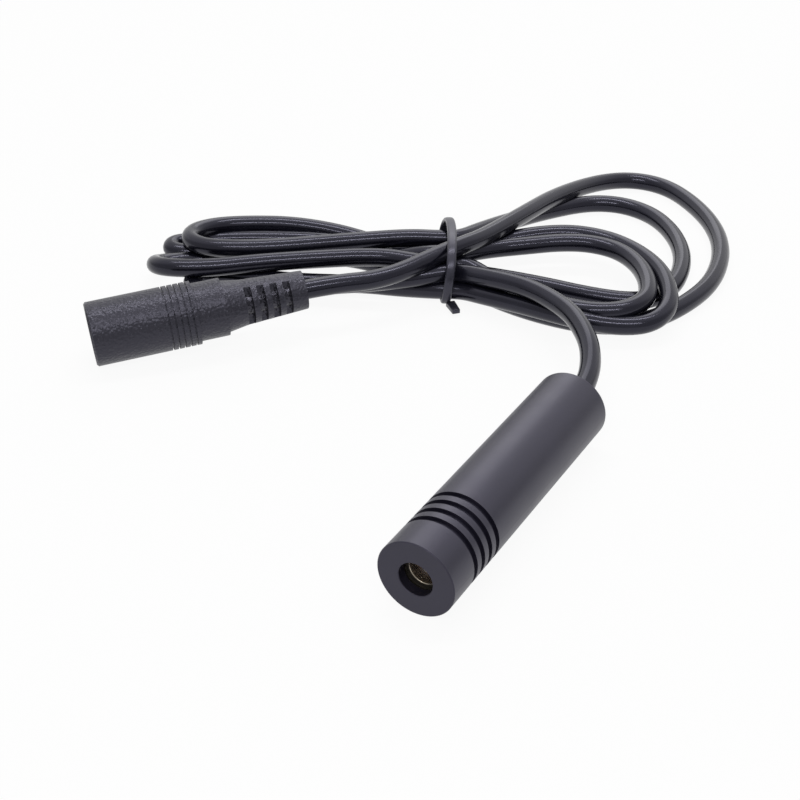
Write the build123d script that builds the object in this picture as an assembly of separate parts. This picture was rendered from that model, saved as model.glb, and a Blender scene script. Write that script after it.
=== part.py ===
from build123d import *
import math
import os

# Laser diode module on a tied lead with an inline power socket.
# Millimetres. The barrel lies along Y with its beam end towards -Y, its underside on Z = 0 and
# its middle over the origin. The lead leaves the back of the barrel towards +Y.

# Cuts run past the faces they open by this much.
overrun = 1.0

# Barrel, turned from bar
barrel_diameter = 12.0
barrel_length = 49.0
barrel_edge_break = 0.15
front_wall = 1.6
aperture_diameter = 5.3
aperture_edge_break = 0.1
groove_count = 4
groove_start = 5.5
groove_pitch = 2.1
groove_width = 1.0
groove_depth = 0.6
cell_bore_wall = 1.5
cell_bore_depth = 8.0
main_bore_wall = 0.8

# Lens cell, screwed into the front bore from behind and glued
cell_gap = 0.6
cell_length = 5.0
cell_wall = 1.5
lens_seat_width = 0.9
cell_slot_width = 1.0
cell_slot_depth = 0.8
cell_edge_break = 0.2
lens_edge_thickness = 1.2
lens_crown = 0.7
lens_lip = 0.2
ring_length = 0.8
ring_width = 0.7
ring_edge_break = 0.1

# Rubber ring that keeps the cell's thread from working loose
cushion_width = 1.1
cushion_side_gap = 0.4
cushion_edge = 0.3

# Diode and the brass slug it is pressed into
slug_length = 8.0
slug_edge_break = 0.3
stem_diameter = 5.6
stem_thickness = 1.2
stem_seat = 2.8
cap_diameter = 3.55
cap_flange_diameter = 4.7
cap_flange_thickness = 0.3
cap_height = 2.3
cap_wall = 0.25
window_opening = 1.6
window_thickness = 0.25
submount_width = 1.0
submount_depth = 0.6
submount_height = 1.3
chip_width = 0.3
chip_thickness = 0.12
chip_length = 0.4
pin_diameter = 0.45
pin_circle_diameter = 2.0
pin_length = 7.5
short_pin_length = 4.0

# Driver board: capacitor and trimmer on its top face, driver chip and resistors on its underside
board_gap = 0.6
board_side_gap = 1.0
board_thickness = 1.0
wire_room = 7.8
driver_length = 4.9
driver_width = 3.9
driver_height = 1.5
driver_leg_width = 0.45
driver_leg_reach = 0.9
driver_leg_thickness = 0.25
driver_leg_pitch = 1.27
driver_leg_rows = 4
resistor_gap = 0.4
resistor_length = 1.6
resistor_width = 0.8
resistor_height = 0.5
resistor_pitch = 1.4
resistor_count = 3
capacitor_length = 3.2
capacitor_width = 1.6
capacitor_height = 1.6
capacitor_side = 2.0
trimmer_width = 3.0
trimmer_height = 1.4
trimmer_side = 1.9
trimmer_screw_diameter = 1.8
trimmer_screw_depth = 0.3
trimmer_slot_width = 0.4

# Supply wires between the lead and the board
wire_diameter = 1.1
wire_spread = 1.2
wire_lap = 2.0
wire_end_gap = 0.2

# Plug that closes the back of the barrel round the lead
plug_length = 4.0
plug_edge_break = 0.2

# Lead, with its route from the barrel to the hank and from the hank to the socket
lead_diameter = 3.5
core_offset_share = 0.2
bend_share = 0.45
lead_straight = 2.9
module_route = [
    (0.0, barrel_length / 2 - plug_length, barrel_diameter / 2),
    (0.0, barrel_length / 2 + lead_straight, barrel_diameter / 2),
    (-0.7, 33.0, 6.2),
    (-2.9, 38.9, 6.3),
    (-6.6, 45.1, 6.4),
    (-11.6, 50.8, 6.4),
    (-18.3, 54.2, 6.4),
]
jack_route = [
    (-41.4, 51.2, 8.5),
    (-46.0, 43.8, 8.7),
]

# Hank: turns of the lead folded into two lobes and tied at the waist
waist_x = -41.0
waist_y = 59.2
waist_heading = 30.7
waist_width = 18.0
waist_height = 9.4
waist_lift = 1.2
waist_half_length = 10.0
waist_corner = 4.0
right_reach = 56.0
left_reach = 59.0
lower_turns_height = 3.6
upper_turns_height = 4.1
turns_edge = 1.0
# along the reach, then across it, round the outline of each layer of turns
right_lower_shares = [
    (0.05, -0.15), (0.22, -0.26), (0.40, -0.34), (0.57, -0.34), (0.74, -0.24), (0.90, -0.06),
    (0.98, 0.17), (1.00, 0.36), (0.97, 0.55), (0.91, 0.72), (0.81, 0.81), (0.68, 0.80),
    (0.53, 0.69), (0.37, 0.48), (0.23, 0.26), (0.05, 0.15),
]
right_upper_shares = [
    (0.05, -0.14), (0.26, -0.29), (0.45, -0.38), (0.60, -0.37), (0.70, -0.25), (0.73, -0.07),
    (0.69, 0.08), (0.59, 0.20), (0.45, 0.25), (0.26, 0.23), (0.05, 0.14),
]
left_lower_shares = [
    (0.05, 0.15), (0.24, 0.24), (0.42, 0.32), (0.61, 0.34), (0.78, 0.32), (0.93, 0.26),
    (0.99, 0.17), (0.98, 0.07), (0.90, 0.02), (0.72, 0.02), (0.48, 0.00), (0.28, -0.07),
    (0.05, -0.15),
]
left_upper_shares = [
    (0.05, 0.15), (0.25, 0.28), (0.45, 0.37), (0.66, 0.38), (0.82, 0.33), (0.89, 0.22),
    (0.83, 0.12), (0.66, 0.07), (0.40, 0.04), (0.05, -0.14),
]

# Tie round the waist
tie_width = 1.7
tie_thickness = 1.0
tie_clearance = 0.1
tie_tail_length = 4.5
tie_tail_start = 6.0
tie_tail_turn = 27.0

# Inline power socket at the far end, moulded on the lead
jack_x = -80.8
jack_y = 3.05
jack_heading = 48.0
jack_tilt = 4.0
jack_length = 38.1
jack_diameter = 11.3
jack_face_edge = 0.3
ring_start = 13.5
grip_ring_count = 5
grip_ring_pitch = 1.04
grip_ring_diameter = 11.3
grip_groove_width = 0.3
grip_groove_depth = 0.35
collar_diameter = 10.3
collar_end = 23.5
cone_front_diameter = 9.3
cone_end = 26.8
relief_front_diameter = 8.2
relief_back_diameter = 6.9
slot_ring_count = 4
slot_ring_start = 27.1
slot_ring_pitch = 2.3
slot_ring_width = 1.25
relief_core_diameter = 4.6
slot_web_width = 3.1

jack_bend_gap = 4.4
lead_in_jack = 5.0

# Socket insert inside the moulding
insert_diameter = 8.4
insert_length = 14.0
insert_recess = 0.3
socket_diameter = 5.6
socket_depth = 9.6
socket_pin_diameter = 2.1
socket_pin_recess = 1.0
socket_pin_tip = 0.5
contact_width = 2.2
contact_thickness = 0.4
contact_front = 2.5
tab_width = 2.0
tab_thickness = 0.4
tab_length = 4.5
tab_side = 2.4
tab_wire_lap = 1.2
tab_wire_gap = 0.1


def seat(plane, solid):
    """Moves a piece made about its own Z axis to its place."""
    return plane.location * solid


def turned(outline):
    """Solid of revolution from (radius, distance along the axis) points."""
    corners = [(radius, 0, along) for radius, along in outline]
    face = make_face(Polyline(*corners, close=True))
    return revolve(face, Axis.Z)


def disc(diameter, start, end):
    """Round bar between two stations of the local axis."""
    bar = Cylinder(diameter / 2, end - start, align=(Align.CENTER, Align.CENTER, Align.MIN))
    return Pos(0, 0, start) * bar


def block(width, height, length, x, y, start):
    """Box centred on x and resting on y, starting at a station of the local axis."""
    return Pos(x, y, start) * Box(width, height, length, align=(Align.CENTER, Align.MIN, Align.MIN))


def tangent_tube(points, diameter):
    """Round tube whose path is straight runs joined by arcs as large as the runs allow."""
    corners = [Vector(*point) for point in points]
    radii = []
    for before, here, after in zip(corners, corners[1:], corners[2:]):
        run = min((here - before).length, (after - here).length)
        turn = math.radians((here - before).get_angle(after - here))
        radii.append(bend_share * run / math.tan(turn / 2))
    path = FilletPolyline(*corners, radius=radii)
    start = Plane(origin=corners[0], z_dir=corners[1] - corners[0])
    tube = sweep(start * Circle(diameter / 2), path=path)
    section = math.pi * (diameter / 2) ** 2
    print("tube radii", [round(radius, 1) for radius in radii], "length", round(path.length, 2),
          "volume ratio", round(tube.volume / (section * path.length), 4))
    return tube


insert_back = insert_recess + insert_length
lead_end = jack_length - lead_in_jack
tab_back = insert_back + tab_length

# Frames of the barrel, the waist of the hank and the socket: local Z runs along each axis
barrel_radius = barrel_diameter / 2
barrel_front = Plane(origin=(0, -barrel_length / 2, barrel_radius), x_dir=(1, 0, 0), z_dir=(0, 1, 0))
# local Y of the barrel's frame points down, so tops of inner parts are at negative Y
jack_radius = jack_diameter / 2
jack_turn = math.radians(jack_heading)
jack_rise = math.radians(jack_tilt)
jack_axis = (
    math.cos(jack_turn) * math.cos(jack_rise),
    math.sin(jack_turn) * math.cos(jack_rise),
    math.sin(jack_rise),
)
jack_across = (math.sin(jack_turn), -math.cos(jack_turn), 0)
# the lead holds the socket's back end a little off the ground, so that it rests on its front rim
jack_z = jack_radius * math.cos(jack_rise) - jack_face_edge * math.sin(jack_rise)
jack_face = Plane(origin=(jack_x, jack_y, jack_z), x_dir=jack_across, z_dir=jack_axis)

# The lead runs into the socket's moulding along its axis, from a bend just outside it
def on_jack_axis(station):
    return (
        jack_x + jack_axis[0] * station,
        jack_y + jack_axis[1] * station,
        jack_z + jack_axis[2] * station,
    )


jack_route_whole = jack_route + [on_jack_axis(jack_length + jack_bend_gap), on_jack_axis(lead_end)]

# Bores of the barrel and what is sized by them
cell_bore_diameter = barrel_diameter - 2 * cell_bore_wall
main_bore_diameter = barrel_diameter - 2 * main_bore_wall
lens_diameter = cell_bore_diameter - 2 * cell_wall
cell_throat_diameter = lens_diameter - 2 * lens_seat_width
ring_opening = lens_diameter - 2 * ring_width
board_width = main_bore_diameter - 2 * board_side_gap

# Stations along the barrel, measured from its front face
cell_front = front_wall + cell_gap
cell_back = cell_front + cell_length
slug_front = front_wall + cell_bore_depth
slug_back = slug_front + slug_length
stem_front = slug_front + stem_seat
stem_back = stem_front + stem_thickness
lens_front = cell_front + lens_lip + ring_length
board_front = slug_back + board_gap
plug_front = barrel_length - plug_length
board_back = plug_front - wire_room
board_length = board_back - board_front
board_top = -pin_diameter / 2

# Stations along the board: the trimmer and the capacitor sit in front of the wires' ends, and the
# driver chip and the resistors take the middle of the underside
capacitor_place = board_length - wire_lap - wire_end_gap - capacitor_length
driver_place = (board_length - driver_length - resistor_gap - resistor_length) / 2
resistor_place = driver_place + driver_length + resistor_gap


def make_housing():
    outline = [(0, 0), (barrel_radius - barrel_edge_break, 0), (barrel_radius, barrel_edge_break)]
    for index in range(groove_count):
        start = groove_start + index * groove_pitch
        floor = barrel_radius - groove_depth
        end = start + groove_width
        outline += [(barrel_radius, start), (floor, start), (floor, end), (barrel_radius, end)]
    outline += [
        (barrel_radius, barrel_length - barrel_edge_break),
        (barrel_radius - barrel_edge_break, barrel_length),
        (0, barrel_length),
    ]
    shell = turned(outline)
    aperture = aperture_diameter / 2
    cell_bore = cell_bore_diameter / 2
    main_bore = main_bore_diameter / 2
    inside = turned([
        (0, -overrun),
        (aperture + aperture_edge_break, -overrun),
        (aperture + aperture_edge_break, 0),
        (aperture, aperture_edge_break),
        (aperture, front_wall),
        (cell_bore, front_wall),
        (cell_bore, slug_front),
        (main_bore, slug_front),
        (main_bore, barrel_length + overrun),
        (0, barrel_length + overrun),
    ])
    return shell - inside


def make_lens_cell():
    outer = cell_bore_diameter / 2
    throat = cell_throat_diameter / 2
    pocket = lens_diameter / 2
    lens_back = lens_front + lens_edge_thickness
    cell = turned([
        (pocket, cell_front),
        (outer - cell_edge_break, cell_front),
        (outer, cell_front + cell_edge_break),
        (outer, cell_back),
        (throat, cell_back),
        (throat, lens_back),
        (pocket, lens_back),
    ])
    slot = block(barrel_diameter, cell_slot_width, cell_slot_depth + overrun,
                 0, -cell_slot_width / 2, cell_front - overrun)
    return cell - slot


def make_lens_ring():
    outer = lens_diameter / 2
    inner = ring_opening / 2
    ring_front = lens_front - ring_length
    return turned([
        (inner + ring_edge_break, ring_front),
        (outer, ring_front),
        (outer, lens_front),
        (inner, lens_front),
        (inner, ring_front + ring_edge_break),
    ])


def make_lens():
    lens_back = lens_front + lens_edge_thickness
    edge = lens_diameter / 2
    sphere = (edge ** 2 + lens_crown ** 2) / (2 * lens_crown)
    crown = min(lens_crown, ring_length)
    body = disc(lens_diameter, lens_front, lens_back)
    centre = lens_front - crown + sphere
    dome = Pos(0, 0, centre) * Sphere(sphere)
    within = disc(ring_opening, lens_front - crown, lens_front)
    return body + (dome & within)


def make_cushion():
    outer = cell_bore_diameter / 2 - cushion_side_gap
    inner = outer - cushion_width
    return turned([
        (inner, cell_back),
        (outer - cushion_edge, cell_back),
        (outer, cell_back + cushion_edge),
        (outer, slug_front - cushion_edge),
        (outer - cushion_edge, slug_front),
        (inner, slug_front),
    ])


def make_slug():
    outer = main_bore_diameter / 2
    cap_room = (cap_flange_diameter + stem_diameter) / 4
    stem = stem_diameter / 2
    return turned([
        (cap_room, slug_front),
        (outer - slug_edge_break, slug_front),
        (outer, slug_front + slug_edge_break),
        (outer, slug_back - slug_edge_break),
        (outer - slug_edge_break, slug_back),
        (stem, slug_back),
        (stem, stem_front),
        (cap_room, stem_front),
    ])


def pin_places():
    ring = pin_circle_diameter / 2
    return [(-ring, 0, pin_length), (ring, 0, pin_length), (0, -ring, short_pin_length)]


def make_pins():
    pins = []
    for x, y, length in pin_places():
        pins.append(Pos(x, y, 0) * disc(pin_diameter, stem_front, stem_back + length))
    return Compound(children=pins)


def make_stem():
    stem = disc(stem_diameter, stem_front, stem_back)
    for x, y, length in pin_places():
        stem -= Pos(x, y, 0) * disc(pin_diameter, stem_front - overrun, stem_back + overrun)
    return stem


def make_cap():
    outer = cap_diameter / 2
    flange = cap_flange_diameter / 2
    top = stem_front - cap_height
    return turned([
        (window_opening / 2, top),
        (outer, top),
        (outer, stem_front - cap_flange_thickness),
        (flange, stem_front - cap_flange_thickness),
        (flange, stem_front),
        (outer - cap_wall, stem_front),
        (outer - cap_wall, top + cap_wall),
        (window_opening / 2, top + cap_wall),
    ])


def make_window():
    inner = cap_diameter - 2 * cap_wall
    top = stem_front - cap_height + cap_wall
    return disc(inner, top, top + window_thickness)


def make_submount():
    return block(submount_width, submount_depth, submount_height, 0, 0, stem_front - submount_height)


def make_chip():
    return block(chip_width, chip_thickness, chip_length, 0, -chip_thickness,
                 stem_front - submount_height)


def make_board():
    return block(board_width, board_thickness, board_length, 0, -board_top, board_front)


def on_board(width, height, length, x, station):
    """A block standing on the board's top face."""
    return block(width, height, length, x, -board_top - height, board_front + station)


def under_board(width, height, length, x, station):
    """A block hanging from the board's underside."""
    return block(width, height, length, x, board_thickness - board_top, board_front + station)


def make_driver():
    body = under_board(driver_width, driver_height, driver_length, 0, driver_place)
    first = (driver_length - (driver_leg_rows - 1) * driver_leg_pitch - driver_leg_width) / 2
    for row in range(driver_leg_rows):
        station = driver_place + first + row * driver_leg_pitch
        reach = driver_width + 2 * driver_leg_reach
        body += under_board(reach, driver_leg_thickness, driver_leg_width, 0, station)
    return body


def make_resistors():
    group = []
    for index in range(resistor_count):
        side = (index - (resistor_count - 1) / 2) * resistor_pitch
        group.append(under_board(resistor_width, resistor_height, resistor_length, side, resistor_place))
    return Compound(children=group)


def make_capacitor():
    return on_board(capacitor_width, capacitor_height, capacitor_length, -capacitor_side, capacitor_place)


def make_trimmer():
    body = on_board(trimmer_width, trimmer_height, trimmer_width, trimmer_side, capacitor_place)
    top = -board_top - trimmer_height
    middle = board_front + capacitor_place + trimmer_width / 2
    upward = Plane(origin=(trimmer_side, top, middle), x_dir=(1, 0, 0), z_dir=(0, -1, 0))
    recess = disc(trimmer_screw_diameter, -trimmer_screw_depth, overrun)
    rotor = disc(trimmer_screw_diameter - trimmer_slot_width, -trimmer_screw_depth, 0)
    rotor -= Box(trimmer_screw_diameter, trimmer_slot_width, trimmer_screw_depth)
    return body - seat(upward, recess) + seat(upward, rotor)


def make_wire(side):
    """One core of the lead, from the end of its sheath to its pad on the board."""
    low = -board_top - wire_diameter / 2
    points = [
        (side * core_offset_share * lead_diameter, 0, plug_front),
        (side * wire_spread, low, board_back + wire_diameter),
        (side * wire_spread, low, board_back - wire_lap),
    ]
    path = Polyline(*points)
    first = Vector(*points[0])
    start = Plane(origin=first, z_dir=Vector(*points[1]) - first)
    return sweep(start * Circle(wire_diameter / 2), path=path, transition=Transition.ROUND)


def make_rear_plug():
    outer = main_bore_diameter / 2
    lead = lead_diameter / 2
    return turned([
        (lead, plug_front),
        (outer, plug_front),
        (outer, barrel_length - plug_edge_break),
        (outer - plug_edge_break, barrel_length),
        (lead, barrel_length),
    ])


# Waist frame: local X along the hank, local Y away across it, local Z up
waist_turn = math.radians(waist_heading)
waist_plane = Plane(
    origin=(waist_x, waist_y, 0),
    x_dir=(math.cos(waist_turn), math.sin(waist_turn), 0),
    z_dir=(0, 0, 1),
)


def make_turns(shares, reach, side, base, height):
    """One layer of a lobe's turns, as a slab with its upper edge broken."""
    outline = [(side * along * reach, across * reach, base) for along, across in shares]
    rim = Spline(*outline)
    slab = extrude(make_face(rim + Line(outline[-1], outline[0])), amount=height)
    top = slab.edges().group_by(Axis.Z)[-1].sort_by(SortBy.LENGTH)[-1]
    return chamfer(top, turns_edge)


def make_hank():
    upper_base = lower_turns_height - turns_edge
    upper_height = upper_turns_height + turns_edge
    layers = [
        (right_lower_shares, right_reach, 1, 0, lower_turns_height),
        (right_upper_shares, right_reach, 1, upper_base, upper_height),
        (left_lower_shares, left_reach, -1, 0, lower_turns_height),
        (left_upper_shares, left_reach, -1, upper_base, upper_height),
    ]
    hank = make_waist(waist_width, waist_height, waist_corner, 2 * waist_half_length)
    hank = Pos(0, 0, waist_lift + waist_height / 2) * hank
    for layer in layers:
        hank += make_turns(*layer)
    hank = waist_plane.location * hank
    for last, beside in ((module_route[-1], module_route[-2]), (jack_route[0], jack_route[1])):
        hank -= entry_notch(last, beside)
    return hank


def make_waist(width, height, corner, length):
    """Bar with rounded corners along the hank, centred on the local origin."""
    section = Plane.YZ * RectangleRounded(width, height, corner)
    return extrude(section, amount=length / 2, both=True)


def entry_notch(last, beside):
    """Square pocket in the hank's side, with a floor that the lead's end seats on."""
    mouth = Plane(origin=last, z_dir=Vector(*beside) - Vector(*last))
    side = 2 * lead_diameter
    return mouth.location * Box(side, side, side, align=(Align.CENTER, Align.CENTER, Align.MIN))


def make_tie():
    inner_width = waist_width + 2 * tie_clearance
    inner_height = waist_height + 2 * tie_clearance
    corner = waist_corner + tie_clearance
    outer = make_waist(inner_width + 2 * tie_thickness, inner_height + 2 * tie_thickness,
                       corner + tie_thickness, tie_width)
    inner = make_waist(inner_width, inner_height, corner, tie_width + 2 * overrun)
    loop = outer - inner
    reach = Box(tie_width, tie_tail_length, tie_thickness, align=(Align.CENTER, Align.MAX, Align.CENTER))
    tail = Rot(0, 0, tie_tail_turn) * reach
    low = -inner_height / 2 - tie_thickness / 2
    loop += Pos(0, -tie_tail_start, low) * tail
    return waist_plane.location * (Pos(0, 0, waist_lift + waist_height / 2) * loop)


def make_jack_moulding():
    grip = grip_ring_diameter / 2
    collar = collar_diameter / 2
    outline = [(0, 0), (jack_radius - jack_face_edge, 0), (jack_radius, jack_face_edge)]
    outline += [(jack_radius, ring_start - grip_groove_width)]
    for index in range(grip_ring_count):
        start = ring_start + index * grip_ring_pitch
        floor = jack_radius - grip_groove_depth
        end = start + grip_ring_pitch - grip_groove_width
        outline += [(floor, start - grip_groove_width), (floor, start), (grip, start), (grip, end)]
    rings_end = ring_start + grip_ring_count * grip_ring_pitch - grip_groove_width
    outline += [
        (collar, rings_end),
        (collar, collar_end),
        (cone_front_diameter / 2, collar_end),
        (relief_front_diameter / 2, cone_end),
        (relief_back_diameter / 2, jack_length),
        (0, jack_length),
    ]
    body = turned(outline)
    for index in range(slot_ring_count):
        start = slot_ring_start + index * slot_ring_pitch
        end = start + slot_ring_width
        ring = disc(jack_diameter, start, end) - disc(relief_core_diameter, start, end)
        web = Box(slot_web_width, 2 * jack_diameter, 2 * jack_length)
        body -= ring - web
    body -= disc(insert_diameter, -overrun, insert_recess + insert_length)
    body -= disc(lead_diameter, lead_end, jack_length + overrun)
    for side in (-1, 1):
        body -= tab_place(side)
        body -= jack_wire_place(side)
    return seat(jack_face, body)


def tab_place(side):
    return block(tab_width, tab_thickness, tab_length, 0, side * tab_side - tab_thickness / 2, insert_back)


def jack_wire_place(side):
    """Core of the lead inside the moulding, from the sheath's end to a solder tab."""
    outer = side * (tab_side - tab_wire_gap - (tab_thickness + wire_diameter) / 2)
    points = [
        (0, side * core_offset_share * lead_diameter, lead_end),
        (0, outer, tab_back),
        (0, outer, tab_back - tab_wire_lap),
    ]
    path = Polyline(*points)
    first = Vector(*points[0])
    start = Plane(origin=first, z_dir=Vector(*points[1]) - first)
    return sweep(start * Circle(wire_diameter / 2), path=path, transition=Transition.ROUND)


def contact_place():
    height = contact_thickness
    inner = socket_diameter / 2
    return block(contact_width, height, socket_depth - contact_front, 0, inner - contact_thickness / 2,
                 insert_recess + contact_front)


def make_jack_insert():
    body = disc(insert_diameter, insert_recess, insert_back)
    body -= disc(socket_diameter, -overrun, insert_recess + socket_depth)
    body -= disc(socket_pin_diameter, insert_recess, insert_back)
    body -= contact_place()
    return seat(jack_face, body)


def make_socket_pin():
    front = insert_recess + socket_pin_recess
    pin = disc(socket_pin_diameter, front, insert_back)
    pin = fillet(pin.edges().group_by(Axis.Z)[0], socket_pin_tip)
    return seat(jack_face, pin)


def make_socket_contact():
    return seat(jack_face, contact_place())


def make_jack_tabs():
    return Compound(children=[seat(jack_face, tab_place(side)) for side in (-1, 1)])


def in_barrel(solid):
    return seat(barrel_front, solid)


pieces = {
    "housing": in_barrel(make_housing()),
    "lens_cell": in_barrel(make_lens_cell()),
    "lens_ring": in_barrel(make_lens_ring()),
    "collimating_lens": in_barrel(make_lens()),
    "cell_cushion": in_barrel(make_cushion()),
    "diode_slug": in_barrel(make_slug()),
    "diode_stem": in_barrel(make_stem()),
    "diode_pins": in_barrel(make_pins()),
    "diode_cap": in_barrel(make_cap()),
    "diode_window": in_barrel(make_window()),
    "diode_submount": in_barrel(make_submount()),
    "diode_chip": in_barrel(make_chip()),
    "driver_board": in_barrel(make_board()),
    "driver_chip": in_barrel(make_driver()),
    "board_resistors": in_barrel(make_resistors()),
    "board_capacitor": in_barrel(make_capacitor()),
    "power_trimmer": in_barrel(make_trimmer()),
    "supply_wire": in_barrel(make_wire(1)),
    "return_wire": in_barrel(make_wire(-1)),
    "rear_plug": in_barrel(make_rear_plug()),
    "lead_to_module": tangent_tube(module_route, lead_diameter),
    "lead_hank": make_hank(),
    "lead_to_jack": tangent_tube(jack_route_whole, lead_diameter),
    "cable_tie": make_tie(),
    "jack_moulding": make_jack_moulding(),
    "jack_insert": make_jack_insert(),
    "jack_pin": make_socket_pin(),
    "jack_contact": make_socket_contact(),
    "jack_tabs": make_jack_tabs(),
    "jack_supply_wire": seat(jack_face, jack_wire_place(1)),
    "jack_return_wire": seat(jack_face, jack_wire_place(-1)),
}

os.makedirs("parts", exist_ok=True)
for name, piece in pieces.items():
    export_step(piece, f"parts/{name}.step")
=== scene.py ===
# %% [markdown]
# # Laser diode module on a tied lead
# This lesson dresses a CAD model of a small laser module for a product picture. The CAD gives the
# shapes and the sizes of every rigid piece, so we only add what CAD is poor at: the free cable, the
# tie that holds it, the surface finishes, a camera and soft light.
#
# The first cell loads the CAD pieces. Each one is a mesh object that already lies in its place.

# %% Load the model
import math
import bpy
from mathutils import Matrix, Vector


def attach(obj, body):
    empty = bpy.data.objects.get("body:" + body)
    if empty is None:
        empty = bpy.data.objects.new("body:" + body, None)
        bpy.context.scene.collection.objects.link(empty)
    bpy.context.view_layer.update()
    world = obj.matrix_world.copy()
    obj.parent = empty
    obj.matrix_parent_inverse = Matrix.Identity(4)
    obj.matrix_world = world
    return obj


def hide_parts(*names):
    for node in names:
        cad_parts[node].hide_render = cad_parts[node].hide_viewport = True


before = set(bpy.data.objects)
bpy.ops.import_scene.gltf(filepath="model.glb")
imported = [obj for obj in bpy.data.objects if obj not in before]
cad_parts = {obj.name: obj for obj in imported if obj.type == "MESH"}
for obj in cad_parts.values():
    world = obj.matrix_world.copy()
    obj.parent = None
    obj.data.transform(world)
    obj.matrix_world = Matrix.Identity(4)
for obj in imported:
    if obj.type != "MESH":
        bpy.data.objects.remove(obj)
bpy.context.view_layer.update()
scene = bpy.context.scene
MM = 0.001
print("pieces loaded:", len(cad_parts))

# %% [markdown]
# ## Camera
# The photograph looks down on the module from its beam end. The camera was fitted to the straight
# edges of the barrel and of the socket: it stands about 20 cm from the barrel's front, tilts 33 degrees
# down and is turned 31 degrees, with a 63 mm lens on a 36 mm sensor.
#
# A constraint that aims the camera at the part would be quicker to set up. Its place and its two angles
# are written out here, because they were measured and the framing must stay exact.

# %% Camera
CAMERA_PLACE = (0.07134, -0.14841, 0.12798)
CAMERA_DOWN = 33.146
CAMERA_TURN = 30.737
LENS = 63.0
camera = bpy.data.objects.new("camera", bpy.data.cameras.new("camera"))
camera.data.lens = LENS
camera.data.clip_start = 0.01
camera.location = CAMERA_PLACE
camera.rotation_euler = (math.radians(90 - CAMERA_DOWN), 0, math.radians(CAMERA_TURN))
scene.collection.objects.link(camera)
scene.camera = camera
print("camera with a lens of", LENS, "mm")

# %% [markdown]
# ## The lead
# The real lead is a round two-core cable with a smooth black sheath, 3.5 mm thick and a little over
# a metre long. It leaves the barrel, runs to a tied bundle of folded turns, and ends in the socket.
#
# A cable wants to bend evenly, and a NURBS curve does that by itself: it is pulled towards its control
# points without touching them. So the lead is one open NURBS line with a round bevel. A tube mesh
# would also do, but its bends would have to be worked out by hand.
#
# The turns lie in two lobes, one each side of the tie. Their points are written in a frame of their
# own: u runs along the bundle, v away across it and z up, in millimetres. That makes it easy to see
# which turn lies on which. Between two lobes the lead always passes through a slot of the tie.

# %% The bundle's own frame
WAIST = Vector((-41.0, 59.2, 0.0))
WAIST_TURN = math.radians(30.7)
ALONG = Vector((math.cos(WAIST_TURN), math.sin(WAIST_TURN), 0))
ACROSS = Vector((-math.sin(WAIST_TURN), math.cos(WAIST_TURN), 0))


def on_waist(u, v, z):
    """A point of the bundle's frame, in the frame of the model, in millimetres."""
    point = WAIST + ALONG * u + ACROSS * v
    return (point.x, point.y, z)


print("the bundle is turned", round(math.degrees(WAIST_TURN), 1), "degrees")

# %% [markdown]
# From the barrel the lead rises a little and swings round to the bundle. Each turn below starts with
# the slot of the tie that it comes through, as v and z, and then gives the points of its lobe.

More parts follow.
